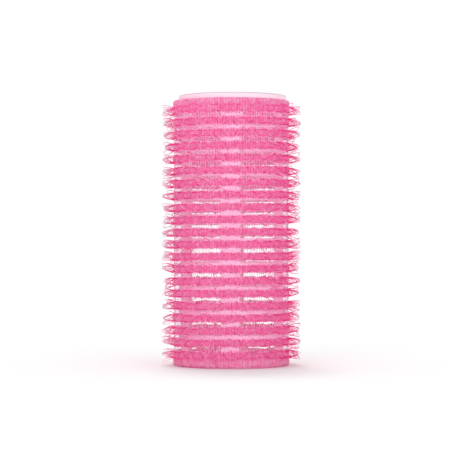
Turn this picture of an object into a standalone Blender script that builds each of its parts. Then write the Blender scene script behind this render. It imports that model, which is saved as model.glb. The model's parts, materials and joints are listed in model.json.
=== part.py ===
"""Self-gripping hair roller: a moulded cage core, a gauze sleeve wrapped round it and welded along one
seam, and the courses of nylon hooks that stand out of the gauze.

The roller stands on its end. +Z runs along its axis, and the origin is on the axis at its lower end.
All values are in metres and degrees."""

import math

import bmesh
import bpy

COLLECTION = "hair_roller"
CUTTERS = "cutters"

# Core: a plastic tube whose wall is a cage of upright bars and ring ribs between two solid collars.
CORE_LENGTH = 0.0633
CORE_RADIUS = 0.0126
CORE_WALL = 0.0012
LIP_ROUNDING = 0.00035
TOP_COLLAR = 0.00255
WINDOW_LEVELS = 11
WINDOW_HEIGHT = 0.00315
WINDOW_CORNER = 0.0006
RIB_HEIGHT = 0.0024
# The bars between the windows: two wide ones, front and back, and four narrow ones. Angles are in degrees.
FRONT_BAR_ANGLE = -92.2
WIDE_BAR = 21.6
NARROW_BAR = 13.0
SIDE_WINDOW = 38.0

# Gauze sleeve: it fits loosely on the core, and leaves the core's top lip bare.
CORE_CLEARANCE = 0.0007
FIT_GAP = 0.0002
GAUZE_THICKNESS = 0.0004
GAUZE_BOTTOM = 0.0002
GAUZE_TOP = 0.0620
HEM_BEVEL = 0.0001

# Courses of hooks: a ring of pointed tufts for each, open at the seam.
HOOK_ROWS = 21
TOP_ROW_HEIGHT = 0.0596
ROW_PITCH = 0.0028275
ROW_THICKNESS = 0.00188
HOOK_TIP_RADIUS = 0.0163
HOOK_VALLEY_RADIUS = 0.0153
TUFT_ANGLE = 15.0
STEPS_PER_TUFT = 2

# Weld seam: the strip where the two ends of the gauze are melted together, on the back bar.
SEAM_HALF_WIDTH = 6.2
SEAM_THICKNESS = 0.0004
SEAM_ARC_POINTS = 5

TURNED_STEPS = 60

GAUZE_INNER_RADIUS = CORE_RADIUS + CORE_CLEARANCE
GAUZE_OUTER_RADIUS = GAUZE_INNER_RADIUS + GAUZE_THICKNESS
PILE_INNER_RADIUS = GAUZE_OUTER_RADIUS + FIT_GAP
WINDOW_PITCH = WINDOW_HEIGHT + RIB_HEIGHT
TOP_WINDOW_HEIGHT = CORE_LENGTH - TOP_COLLAR - WINDOW_HEIGHT / 2
CORNER_WINDOW = (180.0 - WIDE_BAR - SIDE_WINDOW) / 2 - NARROW_BAR
CORNER_WINDOW_OFFSET = (WIDE_BAR + CORNER_WINDOW) / 2
SEAM_ANGLE = FRONT_BAR_ANGLE + 180.0
ROW_STEP_ANGLE = TUFT_ANGLE / STEPS_PER_TUFT


def clear_scene():
    for old in list(bpy.data.objects):
        bpy.data.objects.remove(old, do_unlink=True)


def new_collection(name):
    collection = bpy.data.collections.new(name)
    bpy.context.scene.collection.children.link(collection)
    return collection


def plastic(name, colour, roughness):
    """A Principled material of one colour."""
    material = bpy.data.materials.new(name)
    material.use_nodes = True
    shader = material.node_tree.nodes["Principled BSDF"]
    shader.inputs["Base Color"].default_value = (*colour, 1.0)
    shader.inputs["Roughness"].default_value = roughness
    shader.inputs["Metallic"].default_value = 0.0
    return material


def place(obj, collection, material=None):
    collection.objects.link(obj)
    if material:
        obj.data.materials.append(material)
    return obj


def turned(name, profile):
    """A ring turned about Z from a closed profile of (radius, height) points, down its outer side first."""
    mesh = bpy.data.meshes.new(name)
    points = [(radius, 0.0, height) for radius, height in profile]
    sides = [(i, (i + 1) % len(points)) for i in range(len(points))]
    mesh.from_pydata(points, sides, [])
    obj = bpy.data.objects.new(name, mesh)
    screw = obj.modifiers.new("Turn", "SCREW")
    screw.axis = "Z"
    screw.angle = math.tau
    screw.steps = screw.render_steps = TURNED_STEPS
    screw.use_merge_vertices = True
    screw.merge_threshold = 1e-6
    screw.use_smooth_shade = True
    return obj


def wall_profile(inner, outer, bottom, top, rounding):
    """A wall's section with its four corners cut at 45 degrees, in the order that turned() wants."""
    return [
        (outer - rounding, top),
        (outer, top - rounding),
        (outer, bottom + rounding),
        (outer - rounding, bottom),
        (inner + rounding, bottom),
        (inner, bottom + rounding),
        (inner, top - rounding),
        (inner + rounding, top),
    ]


def window_block(window_angle):
    """The mesh of a block that cuts one window: its long edges, along X, are cut at 45 degrees."""
    length = 4 * CORE_WALL
    width = 2 * CORE_RADIUS * math.sin(math.radians(window_angle) / 2)
    block = bmesh.new()
    bmesh.ops.create_cube(block, size=1.0)
    bmesh.ops.scale(block, vec=(length, width, WINDOW_HEIGHT), verts=block.verts)
    long_edges = [
        edge
        for edge in block.edges
        if abs(edge.verts[0].co.x - edge.verts[1].co.x) > length / 2
    ]
    bmesh.ops.bevel(
        block, geom=long_edges, offset=WINDOW_CORNER, segments=1, affect="EDGES"
    )
    mesh = bpy.data.meshes.new("window_block")
    block.to_mesh(mesh)
    block.free()
    return mesh


def add_window_cutters(collection):
    """A block across the core's wall for each window, its length along the radius."""
    corner, side = window_block(CORNER_WINDOW), window_block(SIDE_WINDOW)
    half_turn = [(CORNER_WINDOW_OFFSET, corner), (90.0, side), (180.0 - CORNER_WINDOW_OFFSET, corner)]
    windows = half_turn + [(offset + 180.0, mesh) for offset, mesh in half_turn]
    radius = CORE_RADIUS - CORE_WALL / 2
    for level in range(WINDOW_LEVELS):
        height = TOP_WINDOW_HEIGHT - level * WINDOW_PITCH
        for column, (offset, mesh) in enumerate(windows):
            angle = math.radians(FRONT_BAR_ANGLE + offset)
            name = f"window_{level + 1:02d}_{column + 1}"
            cutter = place(bpy.data.objects.new(name, mesh), collection)
            cutter.location = (radius * math.cos(angle), radius * math.sin(angle), height)
            cutter.rotation_euler.z = angle
            cutter.hide_render = True
            cutter.display_type = "WIRE"


def make_core(collection, cutters, material):
    profile = wall_profile(
        CORE_RADIUS - CORE_WALL, CORE_RADIUS, 0.0, CORE_LENGTH, LIP_ROUNDING
    )
    core = place(turned("core", profile), collection, material)
    add_window_cutters(cutters)
    windows = core.modifiers.new("Windows", "BOOLEAN")
    windows.operation = "DIFFERENCE"
    windows.solver = "EXACT"
    windows.operand_type = "COLLECTION"
    windows.collection = cutters


def make_gauze(collection, material):
    profile = wall_profile(
        GAUZE_INNER_RADIUS, GAUZE_OUTER_RADIUS, GAUZE_BOTTOM, GAUZE_TOP, HEM_BEVEL
    )
    place(turned("gauze_sleeve", profile), collection, material)


def arc(radius, start, end, count):
    """Points in the XY plane along an arc, with the angles in degrees."""
    angles = [math.radians(start + (end - start) * i / (count - 1)) for i in range(count)]
    return [(radius * math.cos(a), radius * math.sin(a)) for a in angles]


def make_seam(collection, material):
    """The welded strip, as a curved outline extruded along the roller."""
    outer = PILE_INNER_RADIUS + SEAM_THICKNESS
    start, end = SEAM_ANGLE - SEAM_HALF_WIDTH, SEAM_ANGLE + SEAM_HALF_WIDTH
    outline = arc(outer, start, end, SEAM_ARC_POINTS)
    outline += arc(PILE_INNER_RADIUS, end, start, SEAM_ARC_POINTS)
    curve = bpy.data.curves.new("weld_seam", "CURVE")
    curve.dimensions = "2D"
    curve.fill_mode = "BOTH"
    curve.extrude = (GAUZE_TOP - GAUZE_BOTTOM) / 2
    spline = curve.splines.new("POLY")
    spline.points.add(len(outline) - 1)
    for point, (x, y) in zip(spline.points, outline):
        point.co = (x, y, 0.0, 1.0)
    spline.use_cyclic_u = True
    seam = place(bpy.data.objects.new("weld_seam", curve), collection, material)
    seam.location.z = (GAUZE_TOP + GAUZE_BOTTOM) / 2


def tuft_ring_mesh(first_tuft_step):
    """A ridge swept round the gauze from one side of the seam to the other, its crest cut into tufts."""
    section = bmesh.new()
    start = math.radians(SEAM_ANGLE + ROW_STEP_ANGLE)
    sweep = math.tau - 2 * math.radians(ROW_STEP_ANGLE)
    steps = round(math.degrees(sweep) / ROW_STEP_ANGLE)
    direction = (math.cos(start), math.sin(start))
    ridge = [
        (PILE_INNER_RADIUS, -ROW_THICKNESS / 2),
        (HOOK_TIP_RADIUS, 0.0),
        (PILE_INNER_RADIUS, ROW_THICKNESS / 2),
    ]
    corners = [
        section.verts.new((r * direction[0], r * direction[1], z)) for r, z in ridge
    ]
    section.faces.new(corners)
    bmesh.ops.spin(
        section,
        geom=section.verts[:] + section.edges[:] + section.faces[:],
        cent=(0.0, 0.0, 0.0),
        axis=(0.0, 0.0, 1.0),
        angle=sweep,
        steps=steps,
    )
    lower_valleys(section, start, first_tuft_step)
    bmesh.ops.recalc_face_normals(section, faces=section.faces[:])
    mesh = bpy.data.meshes.new("tuft_ring")
    section.to_mesh(mesh)
    section.free()
    return mesh


def lower_valleys(section, start, first_tuft_step):
    """Pulls in every crest point that isn't a tuft's tip."""
    for vert in section.verts:
        radius = math.hypot(vert.co.x, vert.co.y)
        if radius < HOOK_VALLEY_RADIUS:
            continue
        turned_by = math.degrees(math.atan2(vert.co.y, vert.co.x) - start) % 360.0
        step = round(turned_by / ROW_STEP_ANGLE)
        if step % STEPS_PER_TUFT != first_tuft_step:
            vert.co.x *= HOOK_VALLEY_RADIUS / radius
            vert.co.y *= HOOK_VALLEY_RADIUS / radius


def make_hook_rows(collection, material):
    """The courses from the top down. The tufts of each course stand between those of the next."""
    meshes = [tuft_ring_mesh(first) for first in (1, 0)]
    for mesh in meshes:
        mesh.materials.append(material)
    for row in range(HOOK_ROWS):
        obj = bpy.data.objects.new(f"hook_row_{row + 1:02d}", meshes[row % 2])
        obj.location.z = TOP_ROW_HEIGHT - row * ROW_PITCH
        place(obj, collection)


def main():
    clear_scene()
    parts = new_collection(COLLECTION)
    cutters = new_collection(CUTTERS)
    make_core(parts, cutters, plastic("core_plastic", (0.95, 0.72, 0.80), 0.35))
    make_gauze(parts, plastic("gauze", (0.90, 0.22, 0.45), 0.6))
    make_seam(parts, plastic("welded_gauze", (0.85, 0.16, 0.38), 0.45))
    make_hook_rows(parts, plastic("hook_nylon", (0.93, 0.15, 0.40), 0.4))


main()
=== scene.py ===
"""A self-gripping hair roller: its moulded cage core, the knitted gauze wrapped round it, the courses of
nylon hooks that stand out of the gauze, and the weld that closes it, on a pale studio floor.

Sizes are in metres. The roller stands on its end, its axis on Z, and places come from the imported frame."""

import json
import math

import bmesh
import bpy
import numpy as np
from bpy.props import FloatProperty, FloatVectorProperty, IntProperty, PointerProperty
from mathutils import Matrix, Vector

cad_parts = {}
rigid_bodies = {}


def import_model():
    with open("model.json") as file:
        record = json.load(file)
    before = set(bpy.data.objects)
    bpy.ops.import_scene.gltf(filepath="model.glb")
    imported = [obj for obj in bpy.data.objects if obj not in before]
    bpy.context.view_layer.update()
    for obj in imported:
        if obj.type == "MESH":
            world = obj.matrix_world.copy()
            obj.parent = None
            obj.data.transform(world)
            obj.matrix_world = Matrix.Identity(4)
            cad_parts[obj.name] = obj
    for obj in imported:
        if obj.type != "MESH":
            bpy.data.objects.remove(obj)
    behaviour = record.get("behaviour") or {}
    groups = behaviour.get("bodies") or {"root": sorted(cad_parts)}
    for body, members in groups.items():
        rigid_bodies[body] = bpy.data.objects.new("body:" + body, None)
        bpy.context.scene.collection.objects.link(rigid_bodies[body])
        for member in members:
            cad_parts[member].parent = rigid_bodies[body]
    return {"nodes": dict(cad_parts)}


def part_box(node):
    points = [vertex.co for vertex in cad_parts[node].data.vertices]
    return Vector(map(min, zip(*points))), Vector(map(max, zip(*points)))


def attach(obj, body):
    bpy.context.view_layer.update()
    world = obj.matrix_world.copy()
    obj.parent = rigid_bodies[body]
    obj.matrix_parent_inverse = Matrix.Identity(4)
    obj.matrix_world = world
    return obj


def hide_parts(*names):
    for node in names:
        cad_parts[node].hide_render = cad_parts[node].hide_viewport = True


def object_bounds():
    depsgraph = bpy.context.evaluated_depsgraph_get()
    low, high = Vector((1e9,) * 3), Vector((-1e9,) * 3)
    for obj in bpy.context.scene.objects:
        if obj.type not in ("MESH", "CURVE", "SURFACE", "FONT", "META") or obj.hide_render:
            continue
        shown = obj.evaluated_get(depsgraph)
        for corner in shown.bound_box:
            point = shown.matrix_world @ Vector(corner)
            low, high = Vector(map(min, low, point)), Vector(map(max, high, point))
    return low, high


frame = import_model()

bl_info = {
    "name": "Hair Roller",
    "version": (1, 0, 0),
    "blender": (4, 5, 0),
    "location": "View3D > Sidebar > Hair Roller",
    "description": "Builds a self-gripping hair roller round its packed frame, and a small studio",
    "category": "Add Mesh",
}

CAD_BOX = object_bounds()
CORE_LOW, CORE_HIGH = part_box("core")
GAUZE_LOW, GAUZE_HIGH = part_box("gauze_sleeve")
SEAM_LOW, SEAM_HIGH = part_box("weld_seam")
COURSES = sorted(name for name in frame["nodes"] if name.startswith("hook_row_"))
COURSE_SPANS = [(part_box(name)[0].z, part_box(name)[1].z) for name in COURSES]
CORE_RADIUS = CORE_HIGH.x
GAUZE_RADIUS = GAUZE_HIGH.x
HOOK_RADIUS = CAD_BOX[1].x
SEAM_ANGLE = math.atan2(SEAM_LOW.y + SEAM_HIGH.y, SEAM_LOW.x + SEAM_HIGH.x)

# Radius at which the hooks' feet are anchored, just inside the gauze.
HOOK_FOOT = GAUZE_RADIUS - 0.0003

# Columns of faces across each kind of window and bar of the core.
CORNER_COLUMNS, SIDE_COLUMNS, NARROW_COLUMNS, WIDE_COLUMNS = 14, 13, 5, 9

# Columns of points to each column of stitches: the two sides of its ridge, and then the valley beside it.
COLUMNS_PER_WALE, VALLEY = 3, 2

# Where the gauze's hems, bands and gaps are divided, as shares of their heights.
HEM_CUTS, BAND_CUTS, GAP_CUTS = (0.0, 0.33, 0.67), (0.0, 0.2, 0.8), (0.0,)

# How much of its full amount the gauze is drawn in at its ends, and where a band meets a hem or a gap.
AT_END, AT_HEM, AT_GAP = 0.6, 0.3, 1.0

# The gaps narrow from the first share of the gauze's height, and reach their least after the second.
SQUEEZE_FROM, SQUEEZE_OVER = 0.68, 0.24

# The wander of a band's edge: how many waves in a full turn it is made of, and the usual size of each.
WANDER_WAVES, WANDER_SIZE = (5, 9, 14, 21, 33, 47), 0.55

# Thickness of the threads that cross the gaps, as a share of the sheet's.
THREAD_THICKNESS = 0.35

# Hooks that are modelled one by one and then copied round, and the one of them that is cut.
HOOKS_IN_PATTERN, CUT_HOOK = 4, 2

# Half the height between a hook's feet, as a share of its course's height.
HOOK_HALF_HEIGHT = 0.44

# Faces across and along the weld, and how many slanting waves its lumps are made of.
WELD_COLUMNS, WELD_ROWS, WELD_WAVES = 20, 480, 10

# Lamps: name, place, how wide the light is in degrees, and strength.
LAMPS = [
    ("key", (-0.3, -0.65, 0.25), 35.0, 0.7),
    ("fill", (0.35, -0.6, 0.2), 45.0, 0.6),
    ("high", (-0.07, 0.38, 1.0), 20.0, 0.9),
]
LAMP_TARGET = Vector((0.0, 0.0, 0.03))
FLOOR_SIZE = 4.0

# Enough for light to find its way out through the cage and the threads.
LIGHT_BOUNCES, DIFFUSE_BOUNCES = 24, 16


# Sizes and colours that a user would change.


def length(name, description, default):
    return FloatProperty(name=name, description=description, default=default, unit="LENGTH", precision=5)


def angle(name, description, degrees):
    return FloatProperty(name=name, description=description, default=math.radians(degrees), subtype="ANGLE")


def number(name, description, default):
    return FloatProperty(name=name, description=description, default=default)


def whole(name, description, default):
    return IntProperty(name=name, description=description, default=default)


def colour(name, description, default):
    return FloatVectorProperty(
        name=name, description=description, default=default, subtype="COLOR", min=0.0, max=1.0
    )


class CoreSettings(bpy.types.PropertyGroup):
    wall: length("Wall", "Thickness of the core's wall", 0.0012)
    top_collar: length("Top collar", "Solid wall above the highest windows", 0.00255)
    window_height: length("Window height", "Height of each window", 0.00315)
    rib_height: length("Rib height", "Height of the ring ribs between the windows", 0.0024)
    edge: length("Edge", "Distance over which the windows' edges and corners are rounded", 0.0005)
    rows: whole("Window rows", "Rows of windows up the core", 11)
    front_bar: angle("Front bar", "Azimuth of the middle of the front bar", -92.2)
    wide_bar: angle("Wide bar", "Width of the bars at the front and back", 21.6)
    narrow_bar: angle("Narrow bar", "Width of the four bars at the sides", 13.0)
    side_window: angle("Side window", "Width of the windows that face left and right", 38.0)
    colour: colour("Colour", "Moulded plastic", (0.98, 0.86, 0.92))
    # Painted pink bounce light: the near-white plastic under the gauze, tinted as the sleeve's light would
    # tint it.
    painted_sleeve_light: colour("Covered colour", "Outside of the wall, under the gauze", (0.98, 0.63, 0.87))
    # Painted shade: the wall's outside at its sides, where less light comes in through the gauze.
    painted_side_shade: colour("Side colour", "Outside of the wall at its sides", (0.97, 0.44, 0.74))
    # Painted shade: a darker line along the lip's upper edge, where its rounding turns from the light.
    painted_lip_shade: colour("Edge colour", "The lip's upper edge, dulled by handling", (0.52, 0.38, 0.44))


class GauzeSettings(bpy.types.PropertyGroup):
    wales: whole("Wales", "Columns of stitches round the roller", 128)
    thread: length("Thread", "Width of the threads that cross the open gaps", 0.00010)
    ridge: length("Ridge", "Width of the columns' ridges in the dense bands", 0.00022)
    valley: length("Valley", "Depth of the valleys between the ridges", 0.00007)
    thickness: length("Thickness", "Thickness of the knitted sheet", 0.00012)
    stitch: length("Stitch", "Height of a stitch in the dense bands", 0.00045)
    sunk: length("Sunk", "How far inside its nominal radius the sheet lies", 0.00006)
    drawn_in: length("Drawn in", "How far a band's edges bend towards the core", 0.0002)
    closeness: number("Closeness", "How few holes the knitting has", 1.0)
    clearness: number("Clearness", "How clear the threads across the gaps are", 0.45)
    squeeze: length("Squeeze", "How far the gaps near the top are closed from each side", 0.00016)
    level_hem: length("Level hem", "Height over which the courses' tilt fades out at both ends", 0.0015)
    slack: length("Slack", "How far the sleeve and its hooks stand off centre on the core", 0.00028)
    flattening: length("Flattening", "How far the sleeve is pulled in at the front and back", 0.0006)
    back_drop: length("Back drop", "How much lower the courses run at the back than at the front", 0.000245)
    back_stretch: number("Back stretch", "How much further apart the courses are at the back", 0.0175)
    side_rise: length("Side rise", "How much higher the courses run on the right than on the left", 0.00018)
    waviness: length("Waviness", "How far the bands' edges wander", 0.00009)
    fray: length("Fray", "How unevenly each column of stitches ends at a gap", 0.00006)
    lean: length("Lean", "How far each column of stitches strays sideways", 0.00007)
    swell: length("Swell", "How uneven the sheet's surface is", 0.00003)
    colour: colour("Colour", "Dense knitted bands", (0.90, 0.25, 0.54))
    glow_colour: colour("Glow colour", "Light that comes through the knitting", (0.95, 0.38, 0.68))
    hem_colour: colour("Hem colour", "Plain knitting above and below the bands", (0.84, 0.57, 0.71))
    open_colour: colour("Open colour", "Clear threads that cross the gaps", (0.98, 0.60, 0.80))
    seed: whole("Seed", "Unevenness of the knitting", 11)


class HookSettings(bpy.types.PropertyGroup):
    count: whole("Hooks", "Hooks in a full turn", 96)
    thread: length("Thread", "Diameter of the hooks' nylon thread", 0.00013)
    tip_width: length("Tip width", "Width of a hook's bend at its tip", 0.0006)
    lean: length("Lean", "How far the tips lean sideways", 0.00045)
    fan: length("Fan", "How far the tips fan out above and below their band", 0.0016)
    unevenness: number("Unevenness", "How much shorter the shortest hooks are", 0.35)
    twist: number("Twist", "How far the hooks are twisted, in radians", 0.5)
    jitter: number("Jitter", "How unevenly the hooks are spaced, as a share of their spacing", 0.12)
    seam_gap: angle("Seam gap", "From the middle of the weld to the first hooks", 7.0)
    base_colour: colour("Base colour", "The hooks at the gauze", (0.88, 0.02, 0.28))
    tip_colour: colour("Tip colour", "The hooks at their tips", (0.84, 0.60, 0.74))
    # Painted highlight: light shining through the palest hooks, from mid-way out to their tips.
    painted_glint: colour("Pale colour", "Tips of the palest hooks", (0.98, 0.74, 0.88))
    dull_colour: colour("Dull colour", "Tips of the darkest hooks", (0.55, 0.30, 0.42))
    seed: whole("Seed", "Unevenness of the hooks", 5)


class SeamSettings(bpy.types.PropertyGroup):
    thickness: length("Thickness", "Thickness of the melted strip", 0.0003)
    half_width: angle("Half width", "From the middle of the strip to its edges", 6.2)
    rise: length("Rise", "How far the strip's edges stand above the gauze", 0.00012)
    crown: length("Crown", "How much further the strip's middle stands out", 0.0002)
    lumps: length("Lumps", "How uneven the strip's surface is", 0.00003)
    stub_rise: length("Stub rise", "How far the melted hooks of a course stand out", 0.00006)
    stub_reach: length("Stub reach", "How far the melted hooks of a course spread along the strip", 0.0008)
    press_pitch: length("Press pitch", "Spacing of the marks that the heated bar leaves", 0.0009)
    press_depth: length("Press depth", "Depth of those marks", 0.000035)
    colour: colour("Colour", "Melted nylon", (0.58, 0.03, 0.19))
    thin_colour: colour("Thin colour", "Melted gauze between the courses", (0.72, 0.15, 0.37))
    seed: whole("Seed", "Unevenness of the weld", 23)


class StageSettings(bpy.types.PropertyGroup):
    floor_colour: colour("Floor", "Floor as the roller sees it", (0.98, 0.98, 0.98))
    seen_colour: colour(
        "Floor as seen", "Floor as the camera sees it: white outside the shadow", (0.745, 0.745, 0.745)
    )
    camera_distance: length("Camera distance", "From the roller's axis to the camera", 0.406)
    camera_height: length("Camera height", "Height of the camera above the floor", 0.0301)
    view_height: length("View height", "Height above the floor at the middle of the view", 0.0306)
    camera_side: length("Camera side", "How far the camera stands right of the axis", 0.0006)
    view_width: length("View width", "Width of the view at the roller's axis", 0.1106)
    room_light: number("Room light", "Strength of the pale surroundings' light", 1.01)


# Shaders, written as expressions.


class Socket:
    """A node's output. Arithmetic on it adds Math nodes."""

    def __init__(self, recipe, output):
        self.recipe, self.output = recipe, output

    def math(self, operation, *values):
        return self.recipe.node("Math", dict(enumerate(values)), operation=operation)

    def __add__(self, other):
        return self.math("ADD", self, other)

    def __sub__(self, other):
        return self.math("SUBTRACT", self, other)

    def __rsub__(self, other):
        return self.math("SUBTRACT", other, self)

    def __mul__(self, other):
        return self.math("MULTIPLY", self, other)

    def __truediv__(self, other):
        return self.math("DIVIDE", self, other)

    def __pow__(self, other):
        return self.math("POWER", self, other)

    __radd__ = __add__

    def sine(self):
        return self.math("SINE", self)

    def clamped(self):
        return self.recipe.node("Clamp", {0: self})

    def rising(self, start, width):
        """0 up to the start, then rising to 1 over the width."""
        return ((self - start) / width).clamped()


class Recipe:
    """One material's nodes, which end in its Principled shader."""

    def __init__(self, name):
        self.material = bpy.data.materials.new(name)
        self.material.use_nodes = True
        self.tree = self.material.node_tree
        self.shader = self.tree.nodes["Principled BSDF"]

    def feed(self, port, value):
        if isinstance(value, Socket):
            self.tree.links.new(value.output, port)
        elif port.type == "RGBA":
            port.default_value = (*value, 1.0)
        else:
            port.default_value = value

    def node(self, kind, inputs=None, output=0, **settings):
        """Adds a node: its settings first, then the values or links of its sockets. Returns one output."""
        made = self.tree.nodes.new("ShaderNode" + kind)
        for name, value in settings.items():
            setattr(made, name, value)
        for port, value in (inputs or {}).items():
            self.feed(made.inputs[port], value)
        return Socket(self, made.outputs[output])

    def mix(self, factor, first, second):
        """Two colours mixed."""
        made = self.tree.nodes.new("ShaderNodeMix")
        made.data_type = "RGBA"
        for port, value in zip((0, 6, 7), (factor, first, second)):
            self.feed(made.inputs[port], value)
        return Socket(self, made.outputs[2])

    def place(self):
        """Object coordinates."""
        return self.node("TexCoord", output=3)

    def axes(self):
        """The piece's X, Y and Z as three numbers."""
        split = self.node("SeparateXYZ", {0: self.place()})
        return [Socket(self, output) for output in split.output.node.outputs]

    def attribute(self, name):
        """A number that the mesh carries at each of its points."""
        return self.node("Attribute", output=2, attribute_name=name)

    def noise(self, scale, detail=2.0, stretch=(1.0, 1.0, 1.0)):
        """Noise from 0 to 1. Its grains are about 1 / scale metres wide, and stretch scales X, Y and Z."""
        where = self.node("Mapping", {"Vector": self.place(), "Scale": stretch})
        return self.node("TexNoise", {"Vector": where, "Scale": scale, "Detail": detail})

    def surface(self, **inputs):
        """Sets the shader's sockets by name, with _ for a space, and returns the material."""
        for name, value in inputs.items():
            self.feed(self.shader.inputs[name.replace("_", " ")], value)
        return self.material

    def bump(self, height, distance):
        return self.node("Bump", {"Height": height, "Distance": distance, "Strength": 1.0})

    def let_light_through(self, share, colour, solid=None):
        """Mixes in a translucent shader, so that thin nylon glows with the light behind it. Where solid is
        0, nothing is there."""
        glow = self.node("BsdfTranslucent", {"Color": colour})
        body = Socket(self, self.shader.outputs[0])
        body = self.node("MixShader", {0: share, 1: body, 2: glow})
        if solid:
            body = self.node("MixShader", {0: solid, 1: self.node("BsdfTransparent"), 2: body})
        self.tree.links.new(body.output, self.tree.nodes["Material Output"].inputs["Surface"])


def deepened(colour, red, green, blue):
    return tuple(c * share for c, share in zip(colour, (red, green, blue)))


def core_plastic(settings):
    """Satin moulded plastic: faint flow marks, and a parting line down both sides. Under the gauze its
    outside carries painted pink bounce light from the sleeve, with painted shade towards its sides, and the
    lip's upper edge carries a painted shade line."""
    recipe = Recipe("core_plastic")
    flow = recipe.noise(180.0, 3.0, (1.0, 1.0, 0.35))
    grain = recipe.noise(9000.0)
    x, y, z = recipe.axes()
    line_half_width, skin, lip_height, blend = 0.00012, 0.0003, 0.00035, 0.0001
    parting = 1.0 - (y.math("ABSOLUTE", y) / line_half_width).clamped()
    body = recipe.mix(flow, settings.colour, deepened(settings.colour, 0.95, 0.95, 0.95))
    height = parting * 0.6 + grain * 0.25 + flow * 0.3
    radius = (x * x + y * y) ** 0.5
    outer = radius.rising(CORE_RADIUS - skin, blend)
    # Painted pink bounce light from the sleeve on the wall's outside under the gauze.
    covered = outer * ((GAUZE_HIGH.z - z) / (2 * blend)).clamped()
    # Painted shade, growing towards the wall's sides.
    aside = (x.math("ABSOLUTE", x) / radius).rising(0.45, 0.35)
    body = recipe.mix(covered, body, recipe.mix(aside, settings.painted_sleeve_light, settings.painted_side_shade))
    # Painted shade line along the lip's upper edge; it also lets less light through there.
    lip_shade_line = z.rising(CORE_HIGH.z - lip_height, blend)
    body = recipe.mix(lip_shade_line * outer, body, settings.painted_lip_shade)
    recipe.let_light_through(0.5 - lip_shade_line * 0.4, settings.colour)
    return recipe.surface(
        Base_Color=body,
        Roughness=0.34 + flow * 0.12,
        Normal=recipe.bump(height, 0.00004),
    )


def knitted_gauze(settings):
    """Dense pink knitting in bands, pierced between its stitches, with painted shade in the valleys between
    its columns, and clear threads across open gaps.
    """
    recipe = Recipe("knitted_gauze")
    opened, valley, hem = (recipe.attribute(name) for name in ("opened", "valley", "hem"))
    x, y, z = recipe.axes()
    wale = y.math("ARCTAN2", y, x) * float(settings.wales)
    stitch = z * (math.tau / settings.stitch)
    uneven = recipe.noise(2600.0, 2.0, (1.0, 1.0, 0.5))
    knit = (wale + uneven * 5.0).sine() * (stitch + wale * 0.5 + uneven * 4.0).sine()
    pierced = (knit + uneven * 0.9).rising(settings.closeness, 0.12)
    fibre = recipe.noise(5000.0, 3.0, (1.0, 1.0, 0.25))
    blotch = recipe.noise(1400.0, 3.0).rising(0.42, 0.2)
    pale_fibre = deepened(settings.hem_colour, 1.02, 1.2, 1.1)
    # Painted shade for the valleys between the columns of stitches.
    valley_shade = deepened(settings.colour, 0.8, 0.3, 0.5)
    deep_blotch = deepened(settings.colour, 0.86, 0.45, 0.65)
    dense = recipe.mix(hem, settings.colour, settings.hem_colour)
    dense = recipe.mix(fibre * 0.6, dense, pale_fibre)
    dense = recipe.mix(valley * 0.6, dense, valley_shade)
    dense = recipe.mix(blotch * 0.8, dense, deep_blotch)
    solid = 1.0 - pierced * (1.0 - opened) - opened * settings.clearness
    recipe.let_light_through((1.0 - opened) * 0.5, settings.glow_colour, solid)
    return recipe.surface(
        Base_Color=recipe.mix(opened, dense, settings.open_colour),
        Roughness=0.62 - opened * 0.2,
        Normal=recipe.bump(fibre, 0.00005),
        Specular_IOR_Level=0.25,
    )


def hook_nylon(settings):
    """Nylon thread, deep pink where it leaves the gauze and paler at its tip. Each hook has its own tone,
    and the palest hooks carry a painted highlight from mid-way out to their tips.
    """
    recipe = Recipe("hook_nylon")
    x, y, z = recipe.axes()
    radius = (x * x + y * y) ** 0.5
    reach = radius.rising(HOOK_FOOT, HOOK_RADIUS - HOOK_FOOT)
    at_tip = reach**3.5
    tint = recipe.noise(1500.0)
    tone = recipe.attribute("tone")
    deep, dull, pale = tone.rising(0.6, 0.4), tone.rising(0.7, 0.2), ((0.4 - tone) * 3.0).clamped()
    shade = recipe.mix(at_tip, settings.base_colour, settings.tip_colour)
    shade = recipe.mix(deep * 0.5, shade, deepened(settings.base_colour, 0.85, 0.7, 0.8))
    # Painted highlight on the palest hooks, growing towards their tips.
    shade = recipe.mix(pale * reach**3.0 * 0.8, shade, settings.painted_glint)
    shade = recipe.mix(dull * at_tip * 0.8, shade, settings.dull_colour)
    recipe.let_light_through(at_tip * 0.5 + 0.06, settings.tip_colour)
    return recipe.surface(
        Base_Color=shade,
        Roughness=0.3 + tint * 0.2,
        Specular_IOR_Level=0.25,
    )


def melted_nylon(settings):
    """Gauze and hooks melted into one glossy, uneven strip, deepest in colour where there were hooks."""
    recipe = Recipe("melted_nylon")
    lumps = recipe.noise(1300.0, 4.0)
    pits = recipe.noise(3500.0)
    thick = (recipe.attribute("stubs") * 1.4 + (lumps - 0.5) * 3.0).clamped()
    shade = recipe.mix(thick, settings.thin_colour, settings.colour)
    shade = recipe.mix(((pits - 0.55) * 6.0).clamped() * 0.5, shade, settings.thin_colour)
    return recipe.surface(
        Base_Color=shade,
        Roughness=0.3 + pits * 0.35,
        Normal=recipe.bump(lumps * 0.7 + pits * 0.3, 0.0002),
        Specular_IOR_Level=0.4,
    )


def floor_finish(settings):
    """Pale floor that the camera sees as white, with the shadow kept."""
    recipe = Recipe("floor_finish")
    path = recipe.node("LightPath")
    outputs = path.output.node.outputs
    seen = (Socket(recipe, outputs["Is Camera Ray"]) + Socket(recipe, outputs["Is Glossy Ray"])).clamped()
    shade = recipe.mix(seen, settings.floor_colour, settings.seen_colour)
    sheet = recipe.node("BsdfDiffuse", {"Color": shade})
    end = recipe.tree.nodes["Material Output"]
    recipe.tree.links.new(sheet.output, end.inputs["Surface"])
    return recipe.material


# Modelling helpers.


def deselect():
    bpy.ops.object.select_all(action="DESELECT")


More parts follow.
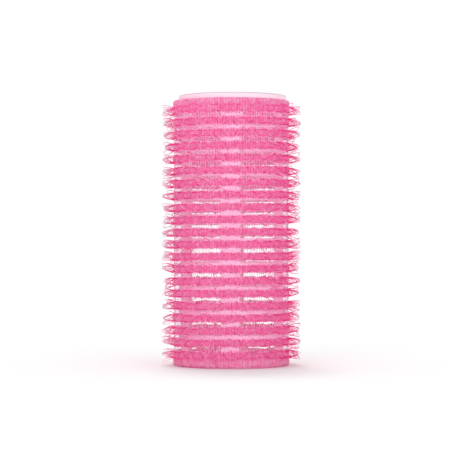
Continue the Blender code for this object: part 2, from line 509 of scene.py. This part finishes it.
def select_only(obj):
    deselect()
    obj.select_set(True)
    bpy.context.view_layer.objects.active = obj


def edit_mode(obj, action):
    """Edits one object, with all of its points selected (SELECT) or none (DESELECT)."""
    select_only(obj)
    bpy.ops.object.mode_set(mode="EDIT")
    bpy.ops.mesh.select_mode(type="VERT")
    bpy.ops.mesh.select_all(action=action)


def object_mode():
    bpy.ops.object.mode_set(mode="OBJECT")


def extruded_tube(radius, heights, sides):
    """A new open tube: a circle at the first height, extruded up through the others."""
    deselect()
    bpy.ops.mesh.primitive_circle_add(vertices=sides, radius=radius, location=(0, 0, heights[0]))
    tube = bpy.context.object
    edit_mode(tube, "SELECT")
    for low, high in zip(heights, heights[1:]):
        bpy.ops.mesh.extrude_region_move(TRANSFORM_OT_translate={"value": (0, 0, high - low)})
    bpy.ops.mesh.select_all(action="SELECT")
    bpy.ops.mesh.normals_make_consistent(inside=False)
    object_mode()
    bpy.ops.object.transform_apply(location=True, rotation=True, scale=True)
    return tube


def delete_faces(obj, wanted):
    """Deletes the faces whose middles wanted(Vector) accepts."""
    edit_mode(obj, "DESELECT")
    bpy.ops.mesh.select_mode(type="FACE")
    mesh = bmesh.from_edit_mesh(obj.data)
    for face in mesh.faces:
        face.select_set(bool(wanted(face.calc_center_median())))
    bmesh.update_edit_mesh(obj.data)
    bpy.ops.mesh.delete(type="FACE")
    object_mode()


def turn_about_axis(obj, azimuth):
    obj.rotation_euler.z = azimuth
    select_only(obj)
    bpy.ops.object.transform_apply(location=True, rotation=True, scale=True)


def flip_upside_down(obj):
    edit_mode(obj, "SELECT")
    bpy.ops.transform.mirror(constraint_axis=(False, False, True))
    bpy.ops.mesh.flip_normals()
    object_mode()


def apply_modifier(obj, kind, **settings):
    modifier = obj.modifiers.new(kind.title(), kind)
    for name, value in settings.items():
        setattr(modifier, name, value)
    bpy.context.view_layer.objects.active = obj
    bpy.ops.object.modifier_apply(modifier=modifier.name)


def points_of(obj):
    """The mesh's points, a row for each."""
    co = np.empty(len(obj.data.vertices) * 3, np.float32)
    obj.data.vertices.foreach_get("co", co)
    return co.reshape(-1, 3).astype(float)


def cylindrical(co):
    """Radius, azimuth from 0 to a full turn, and height of each point."""
    return np.hypot(co[:, 0], co[:, 1]), np.arctan2(co[:, 1], co[:, 0]) % math.tau, co[:, 2]


def move_points(obj, radius, azimuth, height):
    """Puts the mesh's points where the three arrays say."""
    co = np.stack([radius * np.cos(azimuth), radius * np.sin(azimuth), height], axis=1)
    obj.data.vertices.foreach_set("co", co.astype(np.float32).ravel())
    obj.data.update()


def write_attribute(obj, name, values):
    attribute = obj.data.attributes.new(name, "FLOAT", "POINT")
    attribute.data.foreach_set("value", np.asarray(values, np.float32))


def finish_piece(obj, name, material, nodes):
    obj.name = obj.data.name = name
    obj.data.materials.clear()
    obj.data.materials.append(material)
    select_only(obj)
    bpy.ops.object.shade_smooth()
    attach(obj, "root")
    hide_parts(*nodes)


# The roller's pieces.


def window_spans(settings):
    """Lowest and highest point of each row of windows, from the top down."""
    top = CORE_HIGH.z - settings.top_collar
    pitch = settings.window_height + settings.rib_height
    tops = [top - row * pitch for row in range(settings.rows)]
    return [(high - settings.window_height, high) for high in tops]


def windows_and_bars(settings):
    """What half a turn round the core passes, from the front bar's edge: whether each is a window, its
    angle, and how many columns of faces it gets."""
    corner_window = (math.pi - settings.wide_bar - settings.side_window) / 2 - settings.narrow_bar
    corner = (True, corner_window, CORNER_COLUMNS)
    side = (True, settings.side_window, SIDE_COLUMNS)
    narrow = (False, settings.narrow_bar, NARROW_COLUMNS)
    wide = (False, settings.wide_bar, WIDE_COLUMNS)
    return [corner, narrow, side, narrow, corner, wide]


class HAIRROLLER_OT_core(bpy.types.Operator):
    """Mould the cage core: a tube with rows of windows, its wall given thickness and its edges rounded"""

    bl_idname = "hair_roller.core"
    bl_label = "Core"

    def execute(self, context):
        settings = context.scene.roller_core
        spans = window_spans(settings)
        heights = {CORE_LOW.z, CORE_HIGH.z}
        heights |= {CORE_LOW.z + settings.edge / 2, CORE_HIGH.z - settings.edge / 2}
        for low, high in spans:
            heights |= {low - settings.edge, low, low + settings.edge}
            heights |= {high - settings.edge, high, high + settings.edge}
        is_window, angles, widths = zip(*windows_and_bars(settings) * 2)
        angle_ends, column_ends = np.cumsum((0,) + angles), np.cumsum((0,) + widths)
        columns = column_ends[-1]
        tube = extruded_tube(CORE_RADIUS, sorted(heights), int(columns))

        def in_window(middle):
            column = math.atan2(middle.y, middle.x) % math.tau / math.tau * columns
            inside = is_window[np.searchsorted(column_ends, column) - 1]
            return inside and any(low < middle.z < high for low, high in spans)

        delete_faces(tube, in_window)
        radius, azimuth, height = cylindrical(points_of(tube))
        turned = np.interp(azimuth / math.tau * columns, column_ends, angle_ends)
        move_points(tube, radius, settings.front_bar + settings.wide_bar / 2 + turned, height)
        apply_modifier(tube, "SOLIDIFY", thickness=settings.wall, offset=-1.0)
        apply_modifier(tube, "SUBSURF", levels=1, render_levels=1)
        finish_piece(tube, "core_cage", core_plastic(settings), ["core"])
        return {"FINISHED"}


def gauze_levels():
    """Heights up the gauze at which its columns are divided, whether the span above each is a gap, and how
    much of its full amount the gauze is drawn in there."""
    levels, gaps, drawn = [], [], []

    def add(low, high, cuts, drawn_at_low, gap=False):
        """Divides the stretch from low to high. Only its lower edge is drawn in."""
        for cut in cuts:
            levels.append(low + (high - low) * cut)
            gaps.append(gap)
            drawn.append(0.0 if cut else drawn_at_low)

    bands = sorted(COURSE_SPANS)
    add(GAUZE_LOW.z, bands[0][0], HEM_CUTS, AT_END)
    add(*bands[0], BAND_CUTS, AT_HEM)
    for band, above in zip(bands, bands[1:]):
        add(band[1], above[0], GAP_CUTS, AT_GAP, gap=True)
        add(*above, BAND_CUTS, AT_GAP)
    add(bands[-1][1], GAUZE_HIGH.z, HEM_CUTS, AT_HEM)
    levels.append(GAUZE_HIGH.z)
    drawn.append(AT_END)
    return np.array(levels), np.array(gaps), np.array(drawn)


def wander(rng, azimuth, level):
    """A smooth uneven value for each point, different at each level and about 1 in size."""
    levels = level.max() + 1
    total = np.zeros(len(azimuth))
    for waves in WANDER_WAVES:
        phase = rng.uniform(0.0, math.tau, levels)[level]
        size = rng.normal(0.0, WANDER_SIZE, levels)[level]
        total += size * np.sin(azimuth * waves + phase)
    return total


def set_askew(settings, radius, azimuth, height):
    """The radius and height of points on the sleeve, shifted by its slack, by its flattening and by the
    tilt of its courses. The hems stay level."""
    above_bottom = np.clip((height - GAUZE_LOW.z) / settings.level_hem, 0.0, 1.0)
    below_top = np.clip((GAUZE_HIGH.z - height) / settings.level_hem, 0.0, 1.0)
    middle = (GAUZE_LOW.z + GAUZE_HIGH.z) / 2
    drop = settings.back_drop + settings.back_stretch * (middle - height)
    tilt = settings.side_rise / 2 * np.cos(azimuth) - drop / 2 * (1.0 + np.sin(azimuth))
    radius = radius - settings.slack * np.cos(azimuth) - settings.flattening * np.sin(azimuth) ** 2
    return radius, height + tilt * above_bottom * below_top


class HAIRROLLER_OT_gauze(bpy.types.Operator):
    """Knit the gauze sleeve: ridged bands, joined by single threads across open gaps"""

    bl_idname = "hair_roller.gauze"
    bl_label = "Gauze"

    def execute(self, context):
        settings = context.scene.roller_gauze
        rng = np.random.default_rng(settings.seed)
        levels, gaps, drawn = gauze_levels()
        wales, columns = settings.wales, COLUMNS_PER_WALE * settings.wales
        step = math.tau / columns
        sleeve = extruded_tube(GAUZE_RADIUS, list(levels), columns)

        def in_hole(middle):
            column = int((math.atan2(middle.y, middle.x) % math.tau) / step)
            on_ridge = column % COLUMNS_PER_WALE == 0
            return not on_ridge and gaps[np.searchsorted(levels, middle.z) - 1]

        delete_faces(sleeve, in_hole)
        _, azimuth, height = cylindrical(points_of(sleeve))
        column = np.rint(azimuth / step).astype(int) % columns
        level = np.abs(height[:, None] - levels[None, :]).argmin(axis=1)
        wale, role = column // COLUMNS_PER_WALE, column % COLUMNS_PER_WALE
        below_gap, above_gap = np.append(gaps, False)[level], np.append(False, gaps)[level]
        beside_gap = below_gap | above_gap

        # Across the wales, and in and out.
        lean = rng.normal(0.0, settings.lean, (wales, len(levels)))[wale, level]
        swell = rng.normal(0.0, settings.swell, (columns, len(levels)))[column, level]
        half_ridge = np.where(beside_gap, settings.thread, settings.ridge) / 2
        aside = np.choose(role, (-half_ridge, half_ridge, 0.0)) + lean
        middles = np.choose(role, (0.5, 0.5, 2.0))
        azimuth = (COLUMNS_PER_WALE * wale + middles) * step + aside / GAUZE_RADIUS
        radius = GAUZE_RADIUS - settings.sunk - settings.valley * (role == VALLEY)
        radius = radius + swell - settings.drawn_in * drawn[level]

        # Up and down.
        frayed = rng.normal(0.0, settings.fray, (wales, len(levels)))[wale, level]
        height = height + beside_gap * (settings.waviness * wander(rng, azimuth, level) + frayed)
        squeeze_low, squeeze_span = SQUEEZE_FROM * GAUZE_HIGH.z, SQUEEZE_OVER * GAUZE_HIGH.z
        near_top = np.clip((height - squeeze_low) / squeeze_span, 0.0, 1.0)
        height = height + settings.squeeze * near_top * (below_gap * 1.0 - above_gap)
        radius, height = set_askew(settings, radius, azimuth, height)
        move_points(sleeve, radius, azimuth, height)

        write_attribute(sleeve, "opened", beside_gap & (role != VALLEY))
        write_attribute(sleeve, "valley", role == VALLEY)
        write_attribute(sleeve, "hem", (level < len(HEM_CUTS)) | (level >= len(levels) - len(HEM_CUTS)))
        sheet = sleeve.vertex_groups.new(name="sheet")
        sheet.add([int(i) for i in np.flatnonzero(beside_gap)], THREAD_THICKNESS, "REPLACE")
        sheet.add([int(i) for i in np.flatnonzero(~beside_gap)], 1.0, "REPLACE")
        apply_modifier(sleeve, "SOLIDIFY", thickness=settings.thickness, offset=-1.0, vertex_group="sheet")
        finish_piece(sleeve, "gauze", knitted_gauze(settings), ["gauze_sleeve"])
        return {"FINISHED"}


def nylon_hook(settings, half_height, cut):
    """One hook in the XZ plane, as a mesh: out from its upper foot, round its tip and back to its lower
    foot. A cut hook stops just past its tip, and its lower leg is a stub. Each point has two handles, and
    they are placed by shares of the hook's rise, of its bend and of its height."""
    foot, tip = HOOK_FOOT, HOOK_RADIUS
    rise, bend = tip - foot, settings.tip_width / 2
    upper = [
        ((foot, half_height), (foot - rise * 0.2, half_height), (foot + rise * 0.35, half_height * 0.92)),
        ((tip - bend * 0.9, bend), (tip - bend * 3.0, bend * 1.9), (tip - bend * 0.2, bend * 0.7)),
        ((tip, -bend * 0.2), (tip + bend * 0.05, bend * 0.35), (tip - bend * 0.1, -bend * 0.8)),
    ]
    lower = [
        (
            (tip - bend * 1.9, -bend * 1.4),
            (tip - bend * 0.9, -bend * 1.1),
            (foot + rise * 0.55, -bend * 2.2),
        ),
        ((foot, -half_height), (foot + rise * 0.35, -half_height * 0.92), (foot - rise * 0.2, -half_height)),
    ]
    stub = [
        ((foot + rise * 0.35, -half_height * 0.8),) * 3,
        ((foot, -half_height),) * 3,
    ]
    deselect()
    bpy.ops.curve.primitive_bezier_curve_add(location=(0, 0, 0))
    hook = bpy.context.object
    curve = hook.data
    curve.dimensions = "3D"
    curve.bevel_depth = settings.thread / 2
    curve.bevel_resolution = 0
    curve.use_fill_caps = True
    curve.resolution_u = 3
    curve.splines.clear()
    for run in [upper, stub] if cut else [upper + lower]:
        spline = curve.splines.new("BEZIER")
        spline.bezier_points.add(len(run) - 1)
        for point, (place, before, after) in zip(spline.bezier_points, run):
            point.co = (place[0], 0, place[1])
            point.handle_left = (before[0], 0, before[1])
            point.handle_right = (after[0], 0, after[1])
    select_only(hook)
    bpy.ops.object.convert(target="MESH")
    hook = bpy.context.object
    edit_mode(hook, "SELECT")
    bpy.ops.mesh.remove_doubles(threshold=1e-6)
    bpy.ops.mesh.normals_make_consistent(inside=False)
    object_mode()
    return hook


def hook_course(settings):
    """A full course at the height 0: a few neighbouring hooks, copied round the roller by a spin. Every
    other hook is upside down."""
    half_height = (COURSE_SPANS[0][1] - COURSE_SPANS[0][0]) * HOOK_HALF_HEIGHT
    pitch = math.tau / settings.count
    hooks = []
    for place in range(HOOKS_IN_PATTERN):
        hook = nylon_hook(settings, half_height, cut=place == CUT_HOOK)
        if place % 2:
            flip_upside_down(hook)
        turn_about_axis(hook, place * pitch)
        hooks.append(hook)
    select_only(hooks[0])
    for hook in hooks:
        hook.select_set(True)
    bpy.ops.object.join()
    copies = settings.count // HOOKS_IN_PATTERN - 1
    edit_mode(hooks[0], "SELECT")
    bpy.ops.mesh.spin(
        steps=copies,
        dupli=True,
        angle=pitch * HOOKS_IN_PATTERN * copies,
        center=(0, 0, 0),
        axis=(0, 0, 1),
    )
    object_mode()
    return hooks[0]


class HAIRROLLER_OT_hooks(bpy.types.Operator):
    """Grow the courses of hooks out of the gauze, each hook leaning its own way, with a gap at the weld"""

    bl_idname = "hair_roller.hooks"
    bl_label = "Hook courses"

    def execute(self, context):
        settings = context.scene.roller_hooks
        material = hook_nylon(settings)
        pattern = hook_course(settings)
        rng = np.random.default_rng(settings.seed)
        for row, (name, (low, high)) in enumerate(zip(COURSES, COURSE_SPANS)):
            course = pattern.copy()
            course.data = pattern.data.copy()
            context.collection.objects.link(course)
            self.ruffle(course, settings, rng, (low + high) / 2, (row % 2) / 2)
            self.clear_seam(course, settings.seam_gap)
            finish_piece(course, name.replace("row", "course"), material, [name])
        bpy.data.objects.remove(pattern)
        return {"FINISHED"}

    def ruffle(self, course, settings, rng, middle, stagger):
        """Leans, twists and shortens each hook by its own small amount, and lifts the course to its height.
        Stagger turns the whole course by a share of the hooks' spacing."""
        count = settings.count
        pitch = math.tau / count
        radius, azimuth, height = cylindrical(points_of(course))
        hook = np.rint(azimuth / pitch).astype(int) % count
        sideways = ((azimuth - hook * pitch + math.pi) % math.tau - math.pi) * radius
        reach = np.clip((radius - HOOK_FOOT) / (HOOK_RADIUS - HOOK_FOOT), 0.0, 1.0)
        twist = rng.normal(0.0, settings.twist, count)[hook]
        turned_sideways = sideways * np.cos(twist) - height * np.sin(twist)
        turned_height = sideways * np.sin(twist) + height * np.cos(twist)
        lean = rng.normal(0.0, settings.lean, count)[hook] * reach
        fan = settings.fan * rng.uniform(-1.0, 1.0, count)[hook] ** 3 * reach
        short = 1.0 - settings.unevenness * rng.uniform(0.0, 1.0, count)[hook] ** 2
        start = (stagger + rng.normal(0.0, settings.jitter, count)[hook]) * pitch
        radius = HOOK_FOOT + (radius - HOOK_FOOT) * short
        azimuth = start + hook * pitch + (turned_sideways + lean) / radius
        gauze = bpy.context.scene.roller_gauze
        radius, height = set_askew(gauze, radius, azimuth % math.tau, middle + turned_height + fan)
        move_points(course, radius, azimuth, height)
        write_attribute(course, "tone", rng.uniform(0.0, 1.0, count)[hook])

    def clear_seam(self, course, half_gap):
        """Deletes the hooks that would stand in the weld."""
        edit_mode(course, "DESELECT")
        mesh = bmesh.from_edit_mesh(course.data)
        for vert in mesh.verts:
            off = (math.atan2(vert.co.y, vert.co.x) - SEAM_ANGLE + math.pi) % math.tau - math.pi
            vert.select_set(abs(off) < half_gap)
        mesh.select_flush(True)
        bmesh.update_edit_mesh(course.data)
        bpy.ops.mesh.select_linked()
        bpy.ops.mesh.delete(type="VERT")
        object_mode()


class HAIRROLLER_OT_weld(bpy.types.Operator):
    """Lay the melted strip where the two ends of the gauze meet"""

    bl_idname = "hair_roller.weld"
    bl_label = "Weld seam"

    def execute(self, context):
        settings = context.scene.roller_seam
        rng = np.random.default_rng(settings.seed)
        deselect()
        bpy.ops.mesh.primitive_grid_add(x_subdivisions=WELD_COLUMNS, y_subdivisions=WELD_ROWS, size=1.0)
        strip = bpy.context.object
        co = points_of(strip)
        across, along = co[:, 0] * 2, co[:, 1] + 0.5
        height = SEAM_LOW.z + along * (SEAM_HIGH.z - SEAM_LOW.z)

        # What lies in the strip: lumps from 1 to 8 mm long, the stubs of hooks, and the heated bar's marks.
        waves = sum(
            rng.uniform(0.3, 1.0)
            * np.sin(height * rng.uniform(800, 5000) + across * rng.uniform(1, 6) + rng.uniform(0, 6))
            for _ in range(WELD_WAVES)
        )
        courses = np.array([(low + high) / 2 for low, high in COURSE_SPANS])
        stubs = np.exp(-((np.abs(height[:, None] - courses).min(axis=1) / settings.stub_reach) ** 2))
        pressed = np.sin(height * math.tau / settings.press_pitch + np.abs(across) * 3.0)

        # Its edges are ragged, and widest where a course is melted in. There they reach the half width.
        ragged = 0.02 * np.sin(height * 2200) + 0.012 * waves * np.sign(across) + 0.05 * stubs
        azimuth = SEAM_ANGLE + across * settings.half_width * (0.93 + ragged)
        relief = settings.stub_rise * stubs + settings.lumps * waves + settings.press_depth * pressed
        radius = GAUZE_RADIUS + settings.rise + settings.crown * (1 - across**4) + relief * (1 - across**2)
        move_points(strip, radius, azimuth, height)
        write_attribute(strip, "stubs", stubs * (0.75 + 0.25 * np.tanh(waves)))
        edit_mode(strip, "SELECT")
        bpy.ops.mesh.normals_make_consistent(inside=False)
        object_mode()
        apply_modifier(strip, "SOLIDIFY", thickness=settings.thickness, offset=0.0)
        finish_piece(strip, "weld", melted_nylon(settings), ["weld_seam"])
        return {"FINISHED"}


class HAIRROLLER_OT_soft(bpy.types.Operator):
    bl_idname = "hair_roller.soft"
    bl_label = "Declare cloth"

    def execute(self, context):
        return {"FINISHED"}


class HAIRROLLER_OT_stage(bpy.types.Operator):
    """Set the floor, the lamps, the pale surroundings and the camera"""

    bl_idname = "hair_roller.stage"
    bl_label = "Stage"

    def execute(self, context):
        settings = context.scene.roller_stage
        deselect()
        bpy.ops.mesh.primitive_plane_add(size=FLOOR_SIZE, location=(0, 0, CORE_LOW.z))
        floor = bpy.context.object
        floor.name = "floor"
        floor.data.materials.append(floor_finish(settings))
        for lamp in LAMPS:
            self.lamp(*lamp)
        self.world(context.scene, settings)
        self.camera(context.scene, settings)
        context.scene.view_settings.view_transform = "Standard"
        context.scene.cycles.max_bounces = context.scene.cycles.transmission_bounces = LIGHT_BOUNCES
        context.scene.cycles.diffuse_bounces = DIFFUSE_BOUNCES
        return {"FINISHED"}

    def lamp(self, name, place, spread, power):
        light = bpy.data.lights.new(name, "SUN")
        light.angle = math.radians(spread)
        light.energy = power
        lamp = bpy.data.objects.new(name, light)
        bpy.context.collection.objects.link(lamp)
        lamp.location = place
        aim = LAMP_TARGET - lamp.location
        lamp.rotation_euler = aim.to_track_quat("-Z", "Y").to_euler()

    def world(self, scene, settings):
        """White all round to the camera, and an even light on the roller."""
        world = bpy.data.worlds.new("pale_room")
        world.use_nodes = True
        scene.world = world
        tree = world.node_tree
        path = tree.nodes.new("ShaderNodeLightPath")
        room = tree.nodes["Background"]
        room.inputs["Color"].default_value = (1, 1, 1, 1)
        room.inputs["Strength"].default_value = settings.room_light
        backdrop = tree.nodes.new("ShaderNodeBackground")
        backdrop.inputs["Color"].default_value = (1, 1, 1, 1)
        backdrop.inputs["Strength"].default_value = 1.0
        seen = tree.nodes.new("ShaderNodeMath")
        seen.operation = "MAXIMUM"
        tree.links.new(path.outputs["Is Camera Ray"], seen.inputs[0])
        tree.links.new(path.outputs["Is Transmission Ray"], seen.inputs[1])
        mix = tree.nodes.new("ShaderNodeMixShader")
        tree.links.new(seen.outputs[0], mix.inputs[0])
        tree.links.new(room.outputs[0], mix.inputs[1])
        tree.links.new(backdrop.outputs[0], mix.inputs[2])
        tree.links.new(mix.outputs[0], tree.nodes["World Output"].inputs["Surface"])

    def camera(self, scene, settings):
        data = bpy.data.cameras.new("camera")
        data.lens = data.sensor_width * settings.camera_distance / settings.view_width
        data.shift_y = (settings.view_height - settings.camera_height) / settings.view_width
        data.clip_start, data.clip_end = 0.01, 20.0
        camera = bpy.data.objects.new("camera", data)
        scene.collection.objects.link(camera)
        camera.location = (settings.camera_side, -settings.camera_distance, settings.camera_height)
        camera.rotation_euler = (math.pi / 2, 0, 0)
        scene.camera = camera


class HAIRROLLER_PT_panel(bpy.types.Panel):
    """The roller's pieces and their sizes"""

    bl_idname = "HAIRROLLER_PT_panel"
    bl_label = "Hair Roller"
    bl_space_type = "VIEW_3D"
    bl_region_type = "UI"
    bl_category = "Hair Roller"

    def draw(self, context):
        for operator, group in STEPS:
            box = self.layout.box()
            box.operator(operator.bl_idname)
            if group:
                settings = getattr(context.scene, group)
                for name in settings.__annotations__:
                    box.prop(settings, name)


SETTINGS = {
    "roller_core": CoreSettings,
    "roller_gauze": GauzeSettings,
    "roller_hooks": HookSettings,
    "roller_seam": SeamSettings,
    "roller_stage": StageSettings,
}
STEPS = [
    (HAIRROLLER_OT_core, "roller_core"),
    (HAIRROLLER_OT_gauze, "roller_gauze"),
    (HAIRROLLER_OT_hooks, "roller_hooks"),
    (HAIRROLLER_OT_weld, "roller_seam"),
    (HAIRROLLER_OT_soft, None),
    (HAIRROLLER_OT_stage, "roller_stage"),
]


def register():
    for name, group in SETTINGS.items():
        bpy.utils.register_class(group)
        setattr(bpy.types.Scene, name, PointerProperty(type=group))
    for operator, _ in STEPS:
        bpy.utils.register_class(operator)
    bpy.utils.register_class(HAIRROLLER_PT_panel)


def unregister():
    bpy.utils.unregister_class(HAIRROLLER_PT_panel)
    for operator, _ in reversed(STEPS):
        bpy.utils.unregister_class(operator)
    for name, group in reversed(SETTINGS.items()):
        delattr(bpy.types.Scene, name)
        bpy.utils.unregister_class(group)


def main():
    register()
    bpy.ops.hair_roller.core()
    bpy.ops.hair_roller.gauze()
    bpy.ops.hair_roller.hooks()
    bpy.ops.hair_roller.weld()
    bpy.ops.hair_roller.soft()
    bpy.ops.hair_roller.stage()


if __name__ == "__main__":
    main()
